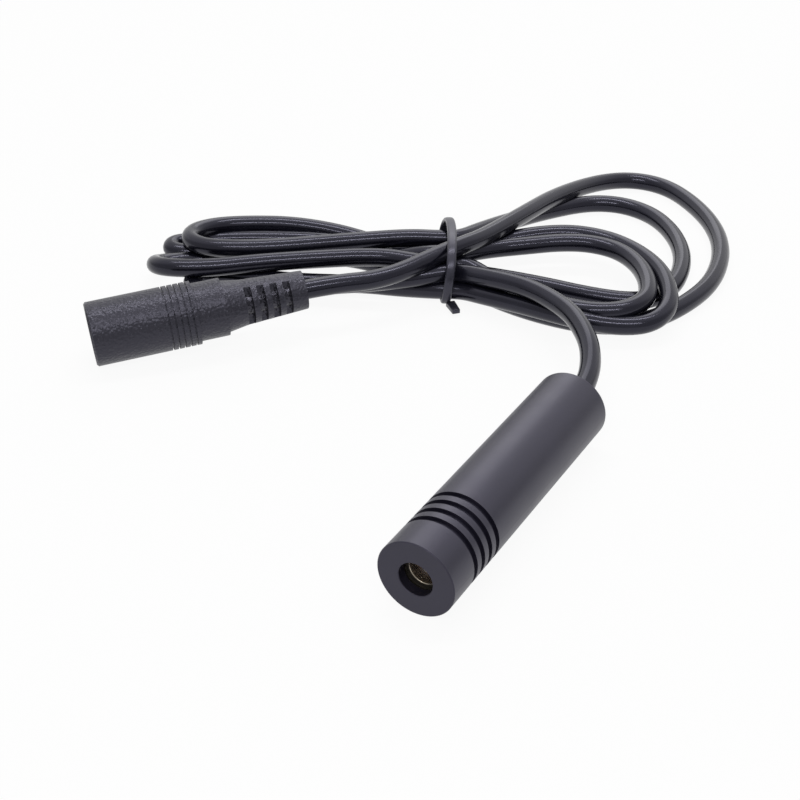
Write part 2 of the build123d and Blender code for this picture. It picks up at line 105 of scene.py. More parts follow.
# %% Points of the route
to_bundle = [
    (0.0, 20.5, 6.0), (0.0, 27.4, 6.0), (-0.8, 32.9, 6.6), (-2.3, 37.1, 7.2), (-4.4, 40.9, 7.8),
    (-7.7, 44.9, 8.1), (-11.7, 48.5, 8.2), (-16.9, 51.2, 8.1), (-21.3, 52.8, 7.9), (-25.2, 53.5, 7.6),
    (-29.8, 54.1, 7.0),
]
turns = [
    ((-6.0, 6.0), [
        (-6, -6.9, 5.6), (-11, -7.2, 5.1), (-16.5, -6.9, 4.3), (-22, -5.9, 3.4), (-28.5, -5.4, 2.3),
        (-35, -5.4, 1.8), (-43, -5.4, 1.8), (-47.6, -4.6, 1.8), (-49.2, -1.9, 1.8), (-47.6, 0.9, 1.8),
        (-43, 1.4, 1.8), (-37, -0.2, 1.8), (-30, -1.7, 1.8), (-23, -2.3, 1.8), (-16, -2.6, 1.8),
        (-9.5, -4.2, 1.9)]),
    ((-7.0, 2.95), [
        (5.5, -9.6, 3.3), (10.5, -13.2, 3.9), (16.5, -17.3, 4.3), (22.5, -20, 4), (29, -21.2, 3.4),
        (35, -20.8, 3.6), (38.8, -16.5, 4.4), (39.6, -10, 5), (39, -3.5, 5.2), (36, 3.2, 5.4),
        (31.5, 8.5, 5.4), (25.5, 11.6, 5.3), (19.5, 12.2, 5), (13, 11, 4.6), (7, 9.6, 4)]),
    ((4.2, 3.1), [
        (-6, 7.2, 2.5), (-10.5, 11.6, 1.8), (-15.5, 15.2, 1.8), (-22.5, 17.6, 2.8), (-31, 19, 3.6),
        (-39.5, 19.4, 3.6), (-46.3, 17.6, 4.1), (-50.3, 13.4, 4.9), (-50.6, 8.8, 5.3), (-47, 5.5, 5.4),
        (-41, 4.5, 5.6), (-33.5, 5, 5.6), (-25, 6.5, 5.6), (-17, 7.5, 5.8), (-8, 8.5, 6)]),
    ((7.5, 6.2), [
        (6, 12.5, 5.4), (12, 19.9, 3.8), (20.5, 28, 2.3), (29.5, 33, 1.8), (36.5, 32.5, 1.8),
        (42, 28, 1.8), (45, 21, 1.8), (46, 12.5, 1.8), (45, 4.5, 1.8), (42, -3.5, 1.8),
        (37.5, -8.4, 1.8), (32.5, -9.4, 1.8), (25.5, -7.2, 1.8), (17.5, -3.3, 1.8), (9.5, -0.5, 2)]),
    ((0.0, 2.95), [
        (-7.5, 4.6, 2.4), (-12.5, 9.4, 1.8), (-18, 12.9, 1.8), (-25, 15.6, 1.8), (-34, 16.3, 1.8),
        (-43, 16.2, 1.8), (-48, 15.6, 1.8), (-52, 14.9, 1.9), (-54.6, 13.5, 2.1), (-54.6, 11.1, 2.1),
        (-52, 10, 1.9), (-47.5, 10.2, 1.8), (-42, 11.9, 1.8), (-36, 12.8, 1.8), (-30, 12.8, 1.8),
        (-24, 12.2, 1.8), (-19, 10.6, 1.8), (-14, 7.6, 2.2), (-9.5, 4.4, 3.8), (-6, 2.6, 5.2)]),
    ((1.75, 5.98), [
        (8.5, 5.2, 5.3), (14.5, 6.2, 5.4), (21.5, 7.5, 5.5), (27.5, 6.8, 5.6), (32.6, 3.5, 5.6),
        (35.4, -2.5, 5.6), (36, -9.5, 5.7), (34.8, -15.6, 5.6), (30.4, -19.3, 5.4),
        (24.5, -19.2, 5.1), (18.5, -15.5, 4.6), (12.5, -11.2, 4.3), (8, -7.2, 4.5), (4.6, -3.6, 5.3)]),
    ((-2.4, 5.8), [
        (-6, -1.2, 5.6), (-11, 1.2, 5.4), (-16.5, 1.9, 5.2), (-22, 1.6, 5.1), (-29.5, 0.7, 5.1),
        (-37, -0.3, 5), (-44.5, -2, 5), (-50.5, -2.3, 5), (-54.4, -1.3, 4.8), (-56.3, 1.4, 3.9),
        (-56.1, 4.7, 2.4), (-53, 6.5, 1.8), (-49, 7, 1.8), (-43.5, 8.4, 1.8), (-37, 9.4, 1.8),
        (-30, 9.4, 1.8), (-24, 9, 1.8), (-18, 7.6, 1.8), (-13, 4.8, 1.8), (-8, 0.6, 2.3)]),
    ((-3.5, 2.95), [
        (5, -6.1, 2.2), (10.5, -10.4, 1.8), (16.5, -14.4, 1.8), (23, -17.4, 1.8), (29.5, -18.3, 1.8),
        (36.5, -16, 1.8), (43.5, -10, 1.8), (49.5, -2, 1.8), (53.5, 9, 1.8), (54.5, 20, 1.8),
        (52.5, 31, 1.8), (48, 41, 1.8), (41, 45, 1.8), (32.5, 41.2, 2.8), (22.5, 29, 5.3),
        (14.5, 16, 7.1), (6.5, 4.3, 8.2)]),
]
over_waist = [(2, -0.8, 9.0), (-2, -4.0, 8.9)]
to_socket = [(-45.2, 42.4, 8.0), (-52.4, 34.6, 8.6), (-58.7, 27.6, 7.9)]
print("turns on the bundle:", len(turns))

# %% [markdown]
# Now the pieces of the route are joined into one list. The lead enters a lobe through the tie, so it
# comes from the other side: each slot gives one point on either side of the tie, before the lobe's own.

# %% Join the route
SLOT_HALF = 2.0
route = list(to_bundle)
for (v, z), lobe in turns:
    side = 1 if lobe[0][0] > 0 else -1
    route += [on_waist(-side * SLOT_HALF, v, z), on_waist(side * SLOT_HALF, v, z)]
    route += [on_waist(*point) for point in lobe]
route += [on_waist(*point) for point in over_waist]
route += to_socket
print("points on the lead's route:", len(route))

# %% [markdown]
# The curve gets its points first. Its order and its end points are set afterwards, because a spline
# with too few points quietly drops back to straight runs. Order 3 keeps the line close to its points.

# %% Lead
LEAD_DIAMETER = 0.0035
STEPS_ALONG = 12
STEPS_ROUND = 7
line = bpy.data.curves.new("supply_lead", "CURVE")
line.dimensions = "3D"
spline = line.splines.new("NURBS")
spline.points.add(len(route) - 1)
for place, point in zip(spline.points, route):
    place.co = (point[0] * MM, point[1] * MM, point[2] * MM, 1)
spline.order_u = 3
spline.use_endpoint_u = True
spline.resolution_u = STEPS_ALONG
line.bevel_depth = LEAD_DIAMETER / 2
line.bevel_resolution = STEPS_ROUND
line.use_fill_caps = True
lead = bpy.data.objects.new("supply_lead", line)
scene.collection.objects.link(lead)
print("lead drawn", round(spline.calc_length() * 1000), "mm long")

# %% [markdown]
# ## Cable tie
# A narrow strap with rounded edges goes once round the waist of the bundle and ends in a short cut
# tail. It isn't a true circle: it bears on the highest turn and bows out a little from the others, as
# stiff nylon does.
#
# A flat curve swept along a path would give such a strap too, but it twists where the path turns. So we
# start from a circle with one corner for each place where the strap bends. Its corners are moved to
# their places, extruding the ring along the bundle makes a band, and Solidify gives the band its
# thickness. A bevel keeps the edges while the subdivision rounds the corners.

# %% Strap round the bundle
TIE_WIDTH = 1.75
TIE_THICKNESS = 1.0
tie_line = [
    (-1.04, -9.4, 2.0), (-0.73, -9.9, 4.8), (-0.3, -9.3, 8.2), (0.0, -6.4, 10.9), (0.12, -1.6, 11.4),
    (0.2, 3.0, 11.1), (-0.05, 7.6, 10.6), (-0.65, 10.1, 8.8), (-1.27, 10.5, 5.8), (-1.47, 8.9, 2.8),
    (-1.62, 5.0, 1.2), (-1.54, 0.0, 0.75), (-1.38, -5.0, 0.75), (-1.18, -8.0, 0.9),
]

bpy.ops.object.select_all(action="DESELECT")
bpy.ops.mesh.primitive_circle_add(vertices=len(tie_line), radius=0.01, location=(0, 0, 0))
tie = bpy.context.object
tie.name = "tie_strap"
for corner, (u, v, z) in zip(tie.data.vertices, tie_line):
    corner.co = Vector(on_waist(u - TIE_WIDTH / 2, v, z)) * MM
bpy.ops.object.mode_set(mode="EDIT")
bpy.ops.mesh.select_all(action="SELECT")
bpy.ops.mesh.extrude_region_move(TRANSFORM_OT_translate={"value": ALONG * TIE_WIDTH * MM})
bpy.ops.mesh.select_all(action="SELECT")
bpy.ops.mesh.normals_make_consistent(inside=False)
bpy.ops.object.mode_set(mode="OBJECT")
print("strap corners:", len(tie_line))

# %% [markdown]
# The tail is the end of the same strap, cut off with pliers. It could be extruded from the strap, but
# it stands off at an angle of its own. So a small block is stretched into a strip between two points,
# its sides are squeezed a little towards the cut, and it is joined to the strap at the end.

# %% Tail of the strap
TAIL_START = Vector(on_waist(-0.25, -8.5, 0.95))
TAIL_END = Vector(on_waist(0.8, -12.1, 1.15))
CUT_SHARE = 0.85
bpy.ops.object.select_all(action="DESELECT")
bpy.ops.mesh.primitive_cube_add(size=1.0, location=(0, 0, 0))
tail = bpy.context.object
tail.name = "tie_tail"
forward = TAIL_END - TAIL_START
sideways = forward.cross(Vector((0, 0, 1))).normalized()
upward = sideways.cross(forward).normalized()
for corner in tail.data.vertices:
    share = CUT_SHARE if corner.co.x > 0 else 1.0
    place = TAIL_START + forward * (corner.co.x + 0.5)
    place = place + sideways * corner.co.y * TIE_WIDTH * share
    corner.co = (place + upward * corner.co.z * TIE_THICKNESS * share) * MM
bpy.ops.object.mode_set(mode="EDIT")
bpy.ops.mesh.select_all(action="SELECT")
bpy.ops.mesh.subdivide(number_cuts=2)
bpy.ops.mesh.select_all(action="SELECT")
bpy.ops.mesh.normals_make_consistent(inside=False)
bpy.ops.object.mode_set(mode="OBJECT")
print("tail is", round(forward.length, 1), "mm long")

# %% [markdown]
# Modifiers finish both pieces: Solidify gives the band a wall, Bevel breaks the edges and Subdivision
# Surface rounds the strap. They are applied in the order in which they were added, and then the two
# meshes become one piece.

# %% Finish the tie
STRAP_EDGE = 0.40
TAIL_EDGE = 0.16
EDGE_ANGLE = math.radians(50)
SMOOTH_ANGLE = math.radians(40)
ROUNDING = 3


def only(piece):
    """Selects this piece alone, and makes it the active one."""
    bpy.ops.object.select_all(action="DESELECT")
    piece.select_set(True)
    bpy.context.view_layer.objects.active = piece


def apply_all(piece):
    """Applies the modifiers of a piece, first to last."""
    only(piece)
    for name in [modifier.name for modifier in piece.modifiers]:
        bpy.ops.object.modifier_apply(modifier=name)


wall = tie.modifiers.new("wall", "SOLIDIFY")
wall.thickness = TIE_THICKNESS * MM
wall.offset = 0.0
for piece, width in ((tie, STRAP_EDGE), (tail, TAIL_EDGE)):
    soft_edge = piece.modifiers.new("soft_edge", "BEVEL")
    soft_edge.width = width * MM
    soft_edge.segments = 2
    soft_edge.limit_method = "ANGLE"
    soft_edge.angle_limit = EDGE_ANGLE
round_off = tie.modifiers.new("round_off", "SUBSURF")
round_off.levels = ROUNDING
round_off.render_levels = ROUNDING
apply_all(tie)
apply_all(tail)
bpy.ops.object.select_all(action="DESELECT")
tail.select_set(True)
tie.select_set(True)
bpy.context.view_layer.objects.active = tie
bpy.ops.object.join()
only(tie)
bpy.ops.object.shade_smooth_by_angle(angle=SMOOTH_ANGLE)
print("tie has", len(tie.data.polygons), "faces")

# %% [markdown]
# ## Tools for the finishes
# Every finish starts from one Principled shader. A uniform number goes straight on its socket. What
# changes over the surface comes from small node groups that several finishes share, each with its
# own numbers. They all read Object coordinates, which stay fixed to the piece in every view.

# %% A plain finish
def finish_of(name, color, roughness, metallic=0.0, ior=1.5):
    """A new material with one Principled shader. Gives the material, its node tree and the shader."""
    material = bpy.data.materials.new(name)
    material.use_nodes = True
    tree = material.node_tree
    tree.nodes.clear()
    output = tree.nodes.new("ShaderNodeOutputMaterial")
    shader = tree.nodes.new("ShaderNodeBsdfPrincipled")
    tree.links.new(shader.outputs["BSDF"], output.inputs["Surface"])
    shader.inputs["Base Color"].default_value = (*color, 1)
    shader.inputs["Roughness"].default_value = roughness
    shader.inputs["Metallic"].default_value = metallic
    shader.inputs["IOR"].default_value = ior
    return material, tree, shader


print("a plain finish can be made")

# %% [markdown]
# A node's input takes either a link or a plain number. Writing out which one each time would hide what
# a group does, so the first helper accepts both. The other two add a node and fill its inputs with it.

# %% Helpers for nodes
def set_or_link(tree, socket, value):
    """Links a socket to a socket, or writes a plain value on it."""
    if isinstance(value, bpy.types.NodeSocket):
        tree.links.new(value, socket)
    else:
        socket.default_value = value


def math_node(tree, operation, first, second):
    """One calculation with two values."""
    node = tree.nodes.new("ShaderNodeMath")
    node.operation = operation
    set_or_link(tree, node.inputs[0], first)
    set_or_link(tree, node.inputs[1], second)
    return node.outputs["Value"]


def vector_node(tree, operation, first, second=None):
    """One step on vectors, which gives a number for a length or a dot product."""
    node = tree.nodes.new("ShaderNodeVectorMath")
    node.operation = operation
    set_or_link(tree, node.inputs[0], first)
    if second is not None:
        set_or_link(tree, node.inputs[1], second)
    return node.outputs["Value" if operation in ("LENGTH", "DOT_PRODUCT") else "Vector"]


print("single nodes can be added")

# %% [markdown]
# A mask runs from 0 to 1. One of these two helpers turns it into a span of another value, such as a
# roughness, and the other into a mix of two colours.

# %% Spans and mixes
def ramp_node(tree, value, low, high, to_low=0.0, to_high=1.0):
    """Turns the span from low to high into the span from to_low to to_high."""
    node = tree.nodes.new("ShaderNodeMapRange")
    tree.links.new(value, node.inputs["Value"])
    node.inputs["From Min"].default_value = low
    node.inputs["From Max"].default_value = high
    set_or_link(tree, node.inputs["To Min"], to_low)
    set_or_link(tree, node.inputs["To Max"], to_high)
    return node.outputs["Result"]


def mix_colors(tree, share, first, second):
    """The first colour where the share is 0, and the second where it is 1."""
    node = tree.nodes.new("ShaderNodeMix")
    node.data_type = "RGBA"
    tree.links.new(share, node.inputs["Factor"])
    set_or_link(tree, node.inputs["A"], first)
    set_or_link(tree, node.inputs["B"], second)
    return node.outputs["Result"]


print("spans and mixes can be added")

# %% [markdown]
# A node group needs sockets on its outside before it can be used. This helper makes them, and the
# next one puts a finished group into a material with that material's own numbers.

# %% Helpers for node groups
def new_group(name, inputs, outputs):
    """An empty node group with named sockets. Inputs are (name, type, default value)."""
    group = bpy.data.node_groups.new(name, "ShaderNodeTree")
    for label, kind, default in inputs:
        socket = group.interface.new_socket(label, in_out="INPUT", socket_type=kind)
        if default is not None:
            socket.default_value = default
    for label, kind in outputs:
        group.interface.new_socket(label, in_out="OUTPUT", socket_type=kind)
    return group, group.nodes.new("NodeGroupInput"), group.nodes.new("NodeGroupOutput")


def place_group(tree, group, values):
    """Puts a group into a material, with the material's own values on its sockets."""
    node = tree.nodes.new("ShaderNodeGroup")
    node.node_tree = group
    for label, value in values.items():
        set_or_link(tree, node.inputs[label], value)
    return node


print("node groups can be made and placed")

# %% [markdown]
# Two effects are in nearly every finish. The first, "mottle", is the slow, cloudy change of tone and
# gloss that every handled or moulded surface has: it mixes two colours and moves the roughness a
# little. A painted image would show its seams close up, and noise has none.

# %% Mottle
def make_mottle():
    """A cloudy mix of two colours, and a roughness that follows it."""
    group, inside, outside = new_group("mottle", [
        ("Vector", "NodeSocketVector", None), ("Scale", "NodeSocketFloat", 300.0),
        ("Dark", "NodeSocketColor", (0, 0, 0, 1)), ("Light", "NodeSocketColor", (1, 1, 1, 1)),
        ("Low Roughness", "NodeSocketFloat", 0.3), ("High Roughness", "NodeSocketFloat", 0.4),
    ], [("Color", "NodeSocketColor"), ("Roughness", "NodeSocketFloat")])
    noise = group.nodes.new("ShaderNodeTexNoise")
    noise.inputs["Detail"].default_value = 4.0
    group.links.new(inside.outputs["Vector"], noise.inputs["Vector"])
    group.links.new(inside.outputs["Scale"], noise.inputs["Scale"])
    spread = ramp_node(group, noise.outputs["Fac"], low=0.3, high=0.7)
    color = mix_colors(group, spread, inside.outputs["Dark"], inside.outputs["Light"])
    low, high = inside.outputs["Low Roughness"], inside.outputs["High Roughness"]
    gloss = ramp_node(group, spread, low=0.0, high=1.0, to_low=low, to_high=high)
    group.links.new(color, outside.inputs["Color"])
    group.links.new(gloss, outside.inputs["Roughness"])
    return group


mottle = make_mottle()
print("shared effect:", mottle.name)

# %% [markdown]
# The second, "grain", is the fine relief of a surface. It turns noise into a bump, because relief this
# fine would need millions of faces. A stretch along an axis makes fine rings or lines of it.

# %% Grain
def make_grain():
    """Fine noise as a bump, which can be stretched along each axis."""
    group, inside, outside = new_group("grain", [
        ("Vector", "NodeSocketVector", None), ("Stretch", "NodeSocketVector", (1, 1, 1)),
        ("Scale", "NodeSocketFloat", 2000.0), ("Strength", "NodeSocketFloat", 0.2),
        ("Distance", "NodeSocketFloat", 0.0001),
    ], [("Normal", "NodeSocketVector")])
    stretched = vector_node(group, "MULTIPLY", inside.outputs["Vector"], inside.outputs["Stretch"])
    noise = group.nodes.new("ShaderNodeTexNoise")
    noise.inputs["Detail"].default_value = 3.0
    group.links.new(stretched, noise.inputs["Vector"])
    group.links.new(inside.outputs["Scale"], noise.inputs["Scale"])
    bump = group.nodes.new("ShaderNodeBump")
    group.links.new(noise.outputs["Fac"], bump.inputs["Height"])
    group.links.new(inside.outputs["Strength"], bump.inputs["Strength"])
    group.links.new(inside.outputs["Distance"], bump.inputs["Distance"])
    group.links.new(bump.outputs["Normal"], outside.inputs["Normal"])
    return group


grain = make_grain()
print("shared effect:", grain.name)

# %% [markdown]
# Some finishes change with the distance from an axis: the lens cell is bright only near the beam, and
# the core of the socket's strain relief is glossier than its rings. Each could be cut out as a face
# region of its own, but a mask needs no change to the mesh. "Off axis" makes it from the distance: a
# point's offset from the axis, crossed with the axis' unit direction, is as long as its distance.

# %% Distance from an axis
def make_off_axis():
    """A mask that is 0 within one radius round an axis, and 1 beyond another."""
    group, inside, outside = new_group("off_axis", [
        ("Vector", "NodeSocketVector", None), ("Origin", "NodeSocketVector", (0, 0, 0)),
        ("Direction", "NodeSocketVector", (0, 1, 0)), ("Inner", "NodeSocketFloat", 0.002),
        ("Outer", "NodeSocketFloat", 0.003),
    ], [("Outside", "NodeSocketFloat")])
    offset = vector_node(group, "SUBTRACT", inside.outputs["Vector"], inside.outputs["Origin"])
    crossed = vector_node(group, "CROSS_PRODUCT", offset, inside.outputs["Direction"])
    distance = vector_node(group, "LENGTH", crossed)
    mask = group.nodes.new("ShaderNodeMapRange")
    group.links.new(distance, mask.inputs["Value"])
    group.links.new(inside.outputs["Inner"], mask.inputs["From Min"])
    group.links.new(inside.outputs["Outer"], mask.inputs["From Max"])
    group.links.new(mask.outputs["Result"], outside.inputs["Outside"])
    return group


off_axis = make_off_axis()
print("shared effect:", off_axis.name)

# %% [markdown]
# The next helper builds a whole finish from mottle and grain, so that each finish below is one call with
# its own numbers. The other one puts a finish on a CAD piece.

# %% A finish with mottle and grain
def textured(name, dark, light, gloss, tone_scale, relief, stretch=(1, 1, 1), metallic=0.0, ior=1.5):
    """gloss is (low, high) roughness, and relief is the grain's (scale, strength, distance)."""
    material, tree, shader = finish_of(name, light, gloss[1], metallic, ior)
    vector = tree.nodes.new("ShaderNodeTexCoord").outputs["Object"]
    tone = place_group(tree, mottle, {
        "Vector": vector, "Scale": tone_scale, "Dark": (*dark, 1), "Light": (*light, 1),
        "Low Roughness": gloss[0], "High Roughness": gloss[1],
    })
    bumps = place_group(tree, grain, {
        "Vector": vector, "Stretch": stretch, "Scale": relief[0], "Strength": relief[1],
        "Distance": relief[2],
    })
    tree.links.new(tone.outputs["Color"], shader.inputs["Base Color"])
    tree.links.new(tone.outputs["Roughness"], shader.inputs["Roughness"])
    tree.links.new(bumps.outputs["Normal"], shader.inputs["Normal"])
    return material, tree, shader


def dress(node, material):
    """Gives a CAD piece its finish."""
    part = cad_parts[node]
    part.data.materials.clear()
    part.data.materials.append(material)


print("finishes with mottle and grain can be made")

# %% [markdown]
# ## Cable sheath
# The sheath is smooth PVC. It is black with a slight blue cast, and glossy enough that the lamps draw
# thin bright lines along it. A lighter colour would also lift it to the dark grey that we see, but it
# would flatten the cable. So the colour stays nearly black, and the grey is the studio, mirrored in
# the sheath.

# %% Cable sheath
sheath, _, sheath_shader = textured(
    "glossy_sheath", dark=(0.004, 0.004, 0.007), light=(0.007, 0.007, 0.012), gloss=(0.17, 0.22),
    tone_scale=220, relief=(900, 0.05, 0.00005), ior=1.5)
sheath_shader.inputs["Specular Tint"].default_value = (0.80, 0.79, 1.0, 1)
lead.data.materials.append(sheath)
for node in ("lead_to_module", "lead_hank", "lead_to_jack"):
    dress(node, sheath)
print("sheath:", sheath.name)

# %% [markdown]
# ## Anodised barrel
# The barrel is turned from aluminium bar and dyed black. Anodising leaves it satin: light spreads wide
# over it, and the marks of the lathe run round it as very fine rings. A wave texture makes rings that
# are all alike, so these come from a noise that is squeezed along the barrel and stretched round it.
# The dye reflects with a violet tint.
#
# The front face looks duller than the turned side. A mask from the place along the barrel raises the
# roughness there.

# %% Anodised barrel
FACE_Y = -0.02445
FACE_BLEND = 0.0001
FACE_ROUGHNESS = 0.62
anodised, barrel_tree, anodised_shader = textured(
    "black_anodising", dark=(0.005, 0.0045, 0.010), light=(0.008, 0.0075, 0.015), gloss=(0.37, 0.43),
    tone_scale=160, relief=(900, 0.10, 0.00003), stretch=(0.15, 12, 0.15), ior=1.7)
anodised_shader.inputs["Specular Tint"].default_value = (0.82, 0.79, 1.0, 1)
barrel_place = barrel_tree.nodes.new("ShaderNodeTexCoord").outputs["Object"]
along_barrel = vector_node(barrel_tree, "DOT_PRODUCT", barrel_place, (0, 1, 0))
turned_gloss = anodised_shader.inputs["Roughness"].links[0].from_socket
face_gloss = ramp_node(
    barrel_tree, along_barrel, low=FACE_Y, high=FACE_Y + FACE_BLEND, to_low=FACE_ROUGHNESS,
    to_high=turned_gloss)
barrel_tree.links.new(face_gloss, anodised_shader.inputs["Roughness"])
dress("housing", anodised)
print("barrel:", anodised.name)

# %% [markdown]
# ## Socket moulding
# The inline socket is moulded in soft black plastic with a fine leathery grain. Noise alone looks like
# sand, so a Voronoi pattern of small cells, broken up by noise, gives the pebbled skin.

# %% Leather
NOISE_SHARE = 0.6


def make_leather():
    """Pebbles from Voronoi cells, as a height and as a bump."""
    group, inside, outside = new_group("leather", [
        ("Vector", "NodeSocketVector", None), ("Scale", "NodeSocketFloat", 3000.0),
        ("Strength", "NodeSocketFloat", 0.5), ("Distance", "NodeSocketFloat", 0.0001),
    ], [("Height", "NodeSocketFloat"), ("Normal", "NodeSocketVector")])
    cells = group.nodes.new("ShaderNodeTexVoronoi")
    cells.feature = "SMOOTH_F1"
    noise = group.nodes.new("ShaderNodeTexNoise")
    noise.inputs["Detail"].default_value = 3.0
    noise_scale = math_node(group, "MULTIPLY", inside.outputs["Scale"], NOISE_SHARE)
    group.links.new(noise_scale, noise.inputs["Scale"])
    group.links.new(inside.outputs["Scale"], cells.inputs["Scale"])
    for pattern in (cells, noise):
        group.links.new(inside.outputs["Vector"], pattern.inputs["Vector"])
    pebbles = ramp_node(group, cells.outputs["Distance"], low=0.1, high=0.7, to_low=1.0, to_high=0.0)
    height = math_node(group, "MULTIPLY", pebbles, noise.outputs["Fac"])
    bump = group.nodes.new("ShaderNodeBump")
    group.links.new(height, bump.inputs["Height"])
    group.links.new(inside.outputs["Strength"], bump.inputs["Strength"])
    group.links.new(inside.outputs["Distance"], bump.inputs["Distance"])
    group.links.new(height, outside.inputs["Height"])
    group.links.new(bump.outputs["Normal"], outside.inputs["Normal"])
    return group


leather = make_leather()
print("shared effect:", leather.name)

# %% [markdown]
# Where the moulding is slotted, its core shows. It is smoother there, so a mask from the distance to
# the socket's axis lowers the roughness of the core. The same mask darkens the core's colour to near
# black: painted shade for the deep slots between the rings.

# %% Socket moulding
SOCKET_ORIGIN = (-0.0808, 0.00305, 0.005615)
SOCKET_AXIS = (0.6675, 0.7413, 0.0698)
CORE_RADIUS = 0.0026
CORE_BLEND = 0.0002
CORE_ROUGHNESS = 0.25
SKIN_ROUGHNESS = 0.38
moulding, moulding_tree, moulding_shader = finish_of(
    "leathery_moulding", (0.009, 0.009, 0.012), SKIN_ROUGHNESS, ior=1.6)
skin_place = moulding_tree.nodes.new("ShaderNodeTexCoord").outputs["Object"]
skin = place_group(moulding_tree, leather, {
    "Vector": skin_place, "Scale": 2200.0, "Strength": 0.8, "Distance": 0.00016})
core_gloss_and_painted_shade = place_group(moulding_tree, off_axis, {
    "Vector": skin_place, "Origin": SOCKET_ORIGIN, "Direction": SOCKET_AXIS, "Inner": CORE_RADIUS,
    "Outer": CORE_RADIUS + CORE_BLEND})
# The pebble height also sets the skin's colour: lighter on the pebbles and darker between them, which is
# painted shade in the grain's hollows.
skin_tone_with_painted_hollow_shade = mix_colors(moulding_tree, skin.outputs["Height"], (0.008, 0.008, 0.011, 1),
                       (0.014, 0.014, 0.018, 1))
# Inside the core radius the colour drops to near black: painted shade for the slots between the rings.
skin_color_with_painted_slot_shade = mix_colors(moulding_tree, core_gloss_and_painted_shade.outputs["Outside"], (0.003, 0.003, 0.004, 1), skin_tone_with_painted_hollow_shade)
skin_gloss = ramp_node(
    moulding_tree, core_gloss_and_painted_shade.outputs["Outside"], low=0.0, high=1.0, to_low=CORE_ROUGHNESS,
    to_high=SKIN_ROUGHNESS)
moulding_tree.links.new(skin_color_with_painted_slot_shade, moulding_shader.inputs["Base Color"])
moulding_tree.links.new(skin_gloss, moulding_shader.inputs["Roughness"])
moulding_tree.links.new(skin.outputs["Normal"], moulding_shader.inputs["Normal"])
moulding_shader.inputs["Specular Tint"].default_value = (0.82, 0.80, 1.0, 1)
dress("jack_moulding", moulding)
print("moulding:", moulding.name)

# %% [markdown]
# ## Lens cell and ring
# Brass round a laser beam is blackened, so that it scatters no light. Only the turned lip next to the
# lens stays bright, and shows in the aperture as a thin ring. Two materials on one piece would need
# the mesh to be split, so metallic, colour and roughness all follow one mask, which the distance from
# the beam gives.

# %% Lens cell and ring
BEAM_ORIGIN = (0, 0, 0.006)
LIP_RADIUS = 0.0024
LIP_BLEND = 0.00005
LIP_ROUGHNESS = 0.22
CELL_ROUGHNESS = 0.45
blackened, cell_tree, cell_shader = finish_of("blackened_brass", (0.02, 0.016, 0.012), 0.4, ior=1.5)
cell_place = cell_tree.nodes.new("ShaderNodeTexCoord").outputs["Object"]
lip = place_group(cell_tree, off_axis, {
    "Vector": cell_place, "Origin": BEAM_ORIGIN, "Direction": (0, 1, 0),
    "Inner": LIP_RADIUS - LIP_BLEND, "Outer": LIP_RADIUS + LIP_BLEND})
cell_tone = place_group(cell_tree, mottle, {
    "Vector": cell_place, "Scale": 500.0, "Dark": (0.030, 0.026, 0.021, 1),
    "Light": (0.055, 0.047, 0.038, 1), "Low Roughness": 0.35, "High Roughness": 0.5})
past_lip = lip.outputs["Outside"]
cell_color = mix_colors(cell_tree, past_lip, (0.42, 0.37, 0.30, 1), cell_tone.outputs["Color"])
cell_gloss = ramp_node(
    cell_tree, past_lip, low=0.0, high=1.0, to_low=LIP_ROUGHNESS, to_high=CELL_ROUGHNESS)
cell_metal = ramp_node(cell_tree, past_lip, low=0.0, high=1.0, to_low=1.0, to_high=0.0)
cell_tree.links.new(cell_color, cell_shader.inputs["Base Color"])
cell_tree.links.new(cell_gloss, cell_shader.inputs["Roughness"])
cell_tree.links.new(cell_metal, cell_shader.inputs["Metallic"])
for node in ("lens_cell", "lens_ring"):
    dress(node, blackened)
print("lens cell:", blackened.name)

# %% [markdown]
# ## Metals inside
# The pieces inside are seldom seen, but each gets the finish that its material has. The metals differ
# in colour and gloss. Plain metallic shaders would do, but a faint mottle and grain keep them from
# looking like mirrors. The grain of the turned brass is squeezed into rings, as on the barrel.

# %% Metals inside
brass, _, _ = textured(
    "brass", dark=(0.52, 0.36, 0.13), light=(0.62, 0.45, 0.18), gloss=(0.22, 0.34),
    tone_scale=400, relief=(2500, 0.08, 0.00002), stretch=(1, 8, 1), metallic=1.0)
gold, _, _ = textured(
    "gold_plate", dark=(0.78, 0.55, 0.22), light=(0.86, 0.64, 0.30), gloss=(0.16, 0.24),
    tone_scale=500, relief=(3000, 0.05, 0.00002), metallic=1.0)
steel, _, _ = textured(
    "bright_steel", dark=(0.50, 0.50, 0.50), light=(0.60, 0.60, 0.60), gloss=(0.18, 0.28),
    tone_scale=500, relief=(3000, 0.06, 0.00002), metallic=1.0)
nickel, _, _ = textured(
    "nickel_plate", dark=(0.62, 0.61, 0.58), light=(0.72, 0.71, 0.68), gloss=(0.14, 0.22),
    tone_scale=500, relief=(3000, 0.05, 0.00002), metallic=1.0)
for node, metal in {
    "diode_slug": brass, "diode_stem": gold, "diode_pins": gold, "diode_submount": gold,
    "diode_cap": steel, "jack_pin": nickel, "jack_contact": nickel, "jack_tabs": nickel,
}.items():
    dress(node, metal)
print("metals placed")

# %% [markdown]
# ## Board and its parts
# The driver board has a green mask, and its parts are moulded or ceramic. One finish in several colours
# would make them all look like the same plastic, so each has a gloss and a grain of its own.

